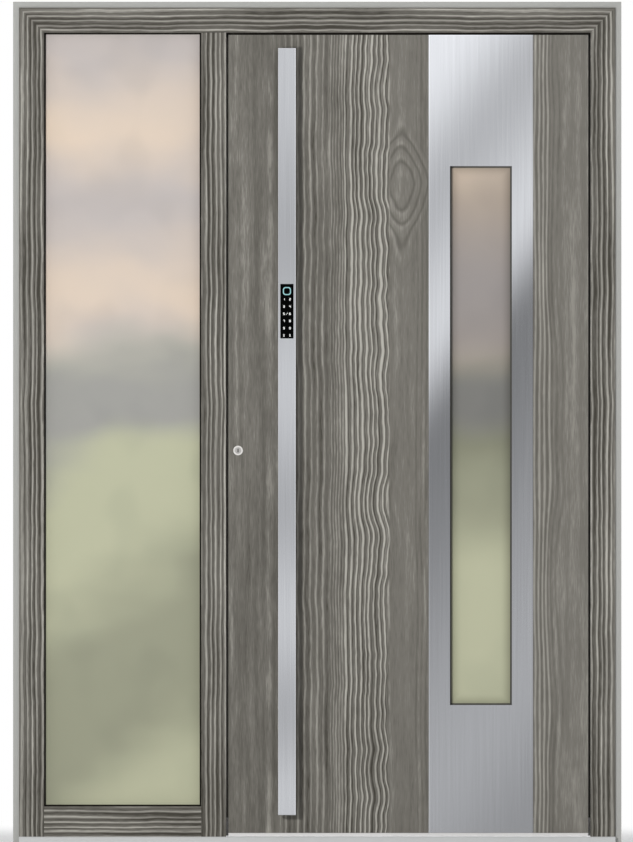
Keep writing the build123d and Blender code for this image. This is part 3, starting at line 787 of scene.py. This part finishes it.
class DOOR_OT_steel(bpy.types.Operator):
    """Brushed steel on the inlays, the pull bars and their posts"""

    bl_idname = "door.steel"
    bl_label = "Brushed steel"

    def execute(self, context):
        steel = tuple(context.scene.door_metal.steel)
        # Inlay: painted highlights on the left and top, painted shade on the right. Bar: painted
        # highlights, strongest on the right.
        inlay = brushed_steel("inlay_brushed", steel, "outer_steel_inlay", (0.2, 0.12, -0.12), 0.004)
        dress(inlay, "outer_steel_inlay", "inner_steel_inlay")
        bars = [f"{face}_pull_{piece}" for face in ("outer", "inner") for piece in ("bar", "posts")]
        dress(brushed_steel("bar_brushed", steel, "outer_pull_bar", (0.16, 0.12, 0.42), 0.003), *bars)
        return {"FINISHED"}


class DOOR_OT_edges(bpy.types.Operator):
    """Grey and black edge profiles, seals, gaskets and spacers, and the leaf's foam core"""

    bl_idname = "door.edges"
    bl_label = "Edges and seals"

    def execute(self, context):
        gap = tuple(context.scene.door_metal.gap)
        stile = tuple(context.scene.door_metal.stile)
        dress(stile_grey("lock_stile_grey", stile, gap), "leaf_lock_stile")
        # The hinge stile takes half the stile colour: painted shade for the darker gap on the hinge
        # side.
        dress(stile_grey("hinge_stile_grey_painted_shade", tuple(c * 0.5 for c in stile), gap), "leaf_hinge_stile")
        profile = matt_dark("edge_profile", gap, 0.55)
        dress(profile, "leaf_top_rail", "sidelight_spacer", "window_spacer")
        liner = tuple(context.scene.door_metal.liner)
        dress(matt_dark("liner_grey", liner, 0.6), "window_liners", "window_gaskets")
        rubber = ("sidelight_gaskets", "frame_seal", "threshold_thermal_break")
        dress(matt_dark("seal_rubber", tuple(c * 0.8 for c in gap), 0.75), *rubber)
        dress(rigid_foam(), "leaf_core")
        return {"FINISHED"}


class DOOR_OT_lock(bpy.types.Operator):
    """Satin nickel on the lock, plates and hinges, with their screws and the lock's bolts"""

    bl_idname = "door.lock"
    bl_label = "Lock and hinges"

    def execute(self, context):
        colour = tuple(context.scene.door_metal.lock)
        nickel = satin_metal("lock_nickel", colour, 0.35, 0.35)
        dress(nickel, "cylinder_rosettes", "lock_faceplate", "strike_plate")
        dress(satin_metal("plug_nickel", tuple(c * 0.62 for c in colour), 0.5, 0.4), "lock_cylinder")
        hinge = satin_metal("hinge_nickel", tuple(c * 0.8 for c in colour), 0.6, 0.35)
        dress(hinge, "frame_hinges", "hinge_pins", "leaf_hinges")
        self.add_screws(nickel)
        self.add_bolts(nickel)
        return {"FINISHED"}

    def add_screws(self, nickel):
        """Three screws on every hinge plate, and one at each end of the lock's two plates."""
        screw = screw_surface(SCREW_RADIUS, SCREW_RISE)
        rings, around = screw.shape[:2]
        hinge_steps = np.array(SCREWS_ON_HINGE)
        for body, node in (("frame", "frame_hinges"), ("leaf", "leaf_hinges")):
            low, high = node_low(node), node_high(node)
            plate_x = high[0] - HINGE_INSET if body == "frame" else low[0] + HINGE_INSET
            middles = np.array((low[2] + HINGE_HALF, (low[2] + high[2]) / 2, high[2] - HINGE_HALF))
            heights = (middles[:, None] + hinge_steps[None, :]).ravel()
            plate_y = low[1] + HINGE_PLATE
            centres = np.column_stack((np.full(9, plate_x), np.full(9, plate_y), heights))
            copies = place_copies(screw, centres, *HOUSE)
            add_piece(f"{node}_screws", copies, rings, around, nickel, body, "lock_steel")
        for body, node, axes in (
            ("leaf", "lock_faceplate", LOCK_EDGE),
            ("frame", "strike_plate", STRIKE_EDGE),
        ):
            low, high = node_low(node), node_high(node)
            face_x = low[0] if body == "leaf" else high[0]
            ends = np.array((low[2] + PLATE_INSET, high[2] - PLATE_INSET))
            centres = np.column_stack((np.full(2, face_x), np.full(2, (low[1] + high[1]) / 2), ends))
            copies = place_copies(screw, centres, *axes)
            add_piece(f"{node}_screws", copies, rings, around, nickel, body, "lock_steel")

    def add_bolts(self, nickel):
        """The lock's three bolts, drawn back into the faceplate."""
        bolt = pad_surface(*BOLT_SIZE, BOLT_CORNER, BOLT_RISE, BOLT_EDGE)
        low, high = node_low("lock_faceplate"), node_high("lock_faceplate")
        heights = (low[2] + high[2]) / 2 + np.array(BOLT_PLACES)
        centres = np.column_stack((np.full(3, low[0]), np.full(3, (low[1] + high[1]) / 2), heights))
        copies = place_copies(bolt, centres, *LOCK_EDGE)
        add_piece("lock_bolts", copies, *bolt.shape[:2], nickel, "leaf", "lock_steel")


class DOOR_OT_keypad(bpy.types.Operator):
    """Gloss black keypad with a lit ring and lit numerals"""

    bl_idname = "door.keypad"
    bl_label = "Keypad"

    def execute(self, context):
        keypad = context.scene.door_keypad
        gloss = Finish("keypad_gloss")
        x, _, z = gloss.place()
        haze = gloss.noise(x * 60, z * 60, 2.0, 2.0)
        gloss.set(Base_Color=gloss.mix(haze, (0.0005, 0.0005, 0.0006), (0.002, 0.002, 0.002)))
        gloss.set(Roughness=0.25 + haze * 0.1, Specular_IOR_Level=0.01)
        dress(gloss, "keypad_module")
        low, high = node_low("keypad_module"), node_high("keypad_module")
        middle, face, top = float(low[0] + high[0]) / 2, float(low[1]), float(high[2])
        ring_light = lit_mark("ring_light", tuple(keypad.ring))
        width = keypad.ring_width
        ring = band_surface(width, width * 0.32, keypad.ring_band, MARK_RISE)
        copies = place_copies(ring, [(middle, face, top - keypad.ring_drop)], *STREET)
        add_piece("keypad_ring", copies, *ring.shape[:2], ring_light, "leaf", "keypad_black")
        key_light = lit_mark("key_light", tuple(keypad.marks))
        self.add_numerals(keypad, key_light, middle, face, top)
        return {"FINISHED"}

    def add_numerals(self, keypad, finish, middle, face, top):
        """Numerals and plain signs of straight strokes, two or three to a row: each stroke is a pad."""
        tall = keypad.key_height
        wide = tall * 0.62
        stroke = tall * 0.27
        level = [(0, tall / 2), (0, 0), (0, -tall / 2)]
        sides = [(side * wide / 2, lift * tall / 4) for lift in (1, -1) for side in (-1, 1)]
        spots = np.array(level + sides)
        lit = {
            "1": "rR", "2": "trmLb", "3": "trmRb", "4": "lrmR", "5": "tlmRb",
            "6": "tlmLRb", "7": "trR", "8": "tlrmLRb", "9": "tlrmRb", "0": "tlrLRb",
            "/": "rL", "=": "tmb",
        }
        order = "tmblrLR"
        rows = ("12", "34", "5/6", "78", "90", "==")
        flat, tall_pad = [], []
        for row, signs in enumerate(rows):
            height = top - keypad.key_drop - row * keypad.key_pitch
            for side, numeral in zip(np.linspace(-1, 1, len(signs)), signs):
                centre = np.array((middle + side * keypad.key_spread, face, height))
                for mark in lit[numeral]:
                    across, up = spots[order.index(mark)]
                    target = flat if mark in "tmb" else tall_pad
                    target.append(centre + np.array((across, 0, up)))
        for name, centres, size in (
            ("keypad_level_strokes", flat, (wide + stroke * 0.4, stroke)),
            ("keypad_upright_strokes", tall_pad, (stroke, tall / 2 + stroke * 0.4)),
        ):
            pad = pad_surface(*size, stroke * 0.4, MARK_RISE, stroke * 0.2)
            copies = place_copies(pad, centres, *STREET)
            add_piece(name, copies, *pad.shape[:2], finish, "leaf", "keypad_black")


class DOOR_OT_stage(bpy.types.Operator):
    """Plain pale floor, white surroundings, soft lamps, graded reflector cards and the camera"""

    bl_idname = "door.stage"
    bl_label = "Studio"

    def execute(self, context):
        scene = context.scene
        scene.view_settings.view_transform = "Standard"
        self.make_world(scene)
        self.make_floor(scene)
        self.make_card(scene)
        self.make_lamps(scene)
        self.make_camera(scene)
        return {"FINISHED"}

    def make_world(self, scene):
        """White to the eye and in reflections, softer as light."""
        world = bpy.data.worlds.new("studio_white")
        world.use_nodes = True
        tree = world.node_tree
        tree.nodes.clear()
        path = tree.nodes.new("ShaderNodeLightPath")
        seen = tree.nodes.new("ShaderNodeMath")
        seen.operation = "MAXIMUM"
        tree.links.new(path.outputs["Is Camera Ray"], seen.inputs[0])
        mirrored = tree.nodes.new("ShaderNodeMath")
        mirrored.operation = "MAXIMUM"
        tree.links.new(path.outputs["Is Glossy Ray"], mirrored.inputs[0])
        tree.links.new(path.outputs["Is Transmission Ray"], mirrored.inputs[1])
        tree.links.new(mirrored.outputs[0], seen.inputs[1])
        light = tree.nodes.new("ShaderNodeBackground")
        light.inputs[0].default_value = (0.97, 0.98, 1.0, 1)
        light.inputs[1].default_value = WORLD_LIGHT
        white = tree.nodes.new("ShaderNodeBackground")
        white.inputs[0].default_value = (1, 1, 1, 1)
        white.inputs[1].default_value = 1.0
        mix = tree.nodes.new("ShaderNodeMixShader")
        tree.links.new(seen.outputs[0], mix.inputs[0])
        tree.links.new(light.outputs[0], mix.inputs[1])
        tree.links.new(white.outputs[0], mix.inputs[2])
        output = tree.nodes.new("ShaderNodeOutputWorld")
        tree.links.new(mix.outputs[0], output.inputs[0])
        scene.world = world

    def sheet(self, scene, name, corners, finish):
        """Flat four-cornered prop."""
        mesh = bpy.data.meshes.new(name)
        mesh.from_pydata([tuple(c) for c in corners], [], [(0, 1, 2, 3)])
        mesh.materials.append(finish.material)
        prop = bpy.data.objects.new(name, mesh)
        scene.collection.objects.link(prop)
        return prop

    def make_floor(self, scene):
        """Pale floor just under the threshold, fading to white away from the door."""
        finish = Finish("pale_floor")
        x, y, _ = finish.place()
        cloud = finish.noise(x * 0.8, y * 0.8, 1.0, 2.0)
        finish.set(Base_Color=finish.mix(cloud, (0.95, 0.95, 0.95), (0.98, 0.98, 0.98)), Roughness=0.8)
        finish.set(Specular_IOR_Level=0.1)
        away = (x * x * 0.5 + y * y).root()
        camera = finish.node("ShaderNodeLightPath", out="Is Camera Ray")
        rays = camera.socket.node.outputs
        mirrored = Value(finish, rays["Is Glossy Ray"]).most(Value(finish, rays["Is Transmission Ray"]))
        seen = camera.most(mirrored)
        white = finish.node("ShaderNodeEmission", inputs={0: (1, 1, 1, 1), 1: 1.0})
        near = Value(finish, finish.shader.outputs[0])
        fade = seen * away.rise(*FLOOR_FADE)
        faded = finish.node("ShaderNodeMixShader", inputs={0: fade, 1: near, 2: white})
        finish.tree.links.new(faded.socket, finish.output.inputs[0])
        corners = [(sx * FLOOR_REACH, sy * FLOOR_REACH, FLOOR_DROP) for sx, sy in SQUARE]
        self.sheet(scene, "floor", corners, finish)

    def make_card(self, scene):
        """Reflector cards before both faces of the door, seen by reflections only.

        Before the inlay a gradient runs across slanting lines, from a bright corner over a pale
        band to a dark field. Elsewhere the card has soft level bands, by a cosine that
        lengthens upwards."""
        finish = Finish("reflector_card")
        x, _, z = finish.place()
        side = x - float(INLAY_LOW[0])
        below = 1.184 + 1.31 * side - z
        greys = [(at, (grey, grey, grey)) for at, grey in INLAY_BANDS]
        shade = finish.ramp((below + 1) / 2.5, greys)
        height = z / CARD_HIGH
        bands = 0.49 + 0.17 * (height * (4.94 - 1.61 * height) - 0.24).wave()
        near = x.between(float(INLAY_LOW[0]) - 0.03, float(INLAY_HIGH[0]) + 0.03, 0.08)
        level = bands + (shade - bands) * near
        tint = finish.mix(level, (0.0, 0.0, 0.0), (0.98, 0.99, 1.02))
        finish.set(Base_Color=(0, 0, 0), Roughness=1.0, Specular_IOR_Level=0.0)
        finish.set(Emission_Color=tint, Emission_Strength=CARD_LIGHT)
        for name, out in CARD_PLACES.items():
            corners = ((-1.6, out, -0.6), (1.6, out, -0.6), (1.6, out, 3.0), (-1.6, out, 3.0))
            card = self.sheet(scene, name, corners, finish)
            card.visible_camera = False
            card.visible_diffuse = False
            card.visible_shadow = False
            card.visible_transmission = False

    def make_lamps(self, scene):
        """Large soft lamps: the key a little left of the street view, fainter ones behind."""
        for name, place, size, power in (
            ("key_lamp", (-2.2, -8.0, 1.6), 0.7, 352),
            ("street_lamp", (5.0, -7.0, 3.5), 3.0, 50),
            ("house_lamp", (2.5, 6.5, 3.2), 3.0, 300),
        ):
            data = bpy.data.lights.new(name, "AREA")
            data.shape = "SQUARE"
            data.size = size
            data.energy = power
            lamp = bpy.data.objects.new(name, data)
            aim = np.array(LAMP_AIM) - np.array(place)
            flat = math.hypot(aim[0], aim[1])
            lamp.rotation_euler = (math.atan2(flat, -aim[2]), 0, math.atan2(-aim[0], aim[1]))
            lamp.location = place
            lamp.visible_camera = False
            lamp.visible_glossy = False
            scene.collection.objects.link(lamp)

    def make_camera(self, scene):
        """Very long lens straight in front, so that the view is almost flat."""
        data = bpy.data.cameras.new("camera")
        data.sensor_width = SENSOR
        data.lens = LENS
        metres = (cad_box[1][0] - cad_box[0][0]) / BORDER_WIDTH
        face = float(LEAF_LOW[1])
        distance = IMAGE_HEIGHT * metres * data.lens / data.sensor_width
        camera = bpy.data.objects.new("camera", data)
        across = cad_box[0][0] + (IMAGE_WIDTH / 2 - BORDER_LEFT) * metres
        height = cad_box[1][2] - (IMAGE_HEIGHT / 2 - BORDER_TOP) * metres
        camera.location = (across, face - distance, height)
        camera.rotation_euler = (math.pi / 2, 0, 0)
        data.clip_end = 400
        scene.collection.objects.link(camera)
        scene.camera = camera


OPERATORS = (
    DOOR_OT_frame_timber,
    DOOR_OT_borders,
    DOOR_OT_glazing,
    DOOR_OT_leaf_timber,
    DOOR_OT_steel,
    DOOR_OT_edges,
    DOOR_OT_lock,
    DOOR_OT_keypad,
    DOOR_OT_stage,
)
GROUPS = {
    "door_timber": DoorTimber,
    "door_metal": DoorMetal,
    "door_glass": DoorGlassPaintedView,
    "door_keypad": DoorKeypad,
}


class DOOR_PT_looks(bpy.types.Panel):
    """Lists the door's finishes and their settings"""

    bl_idname = "DOOR_PT_looks"
    bl_label = "Entrance door"
    bl_space_type = "VIEW_3D"
    bl_region_type = "UI"
    bl_category = "Door"

    def draw(self, context):
        for group in GROUPS:
            settings = getattr(context.scene, group)
            for key in settings.__annotations__:
                self.layout.prop(settings, key)
        for operator in OPERATORS:
            self.layout.operator(operator.bl_idname)


CLASSES = tuple(GROUPS.values()) + OPERATORS + (DOOR_PT_looks,)


def register():
    """Add the classes and the scene's settings."""
    for cls in CLASSES:
        bpy.utils.register_class(cls)
    for name, group in GROUPS.items():
        setattr(bpy.types.Scene, name, bpy.props.PointerProperty(type=group))


def unregister():
    """Take the settings and classes away again."""
    for name in GROUPS:
        delattr(bpy.types.Scene, name)
    for cls in reversed(CLASSES):
        bpy.utils.unregister_class(cls)


def main():
    """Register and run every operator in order."""
    register()
    for operator in OPERATORS:
        family, action = operator.bl_idname.split(".")
        getattr(getattr(bpy.ops, family), action)()


if __name__ == "__main__":
    main()
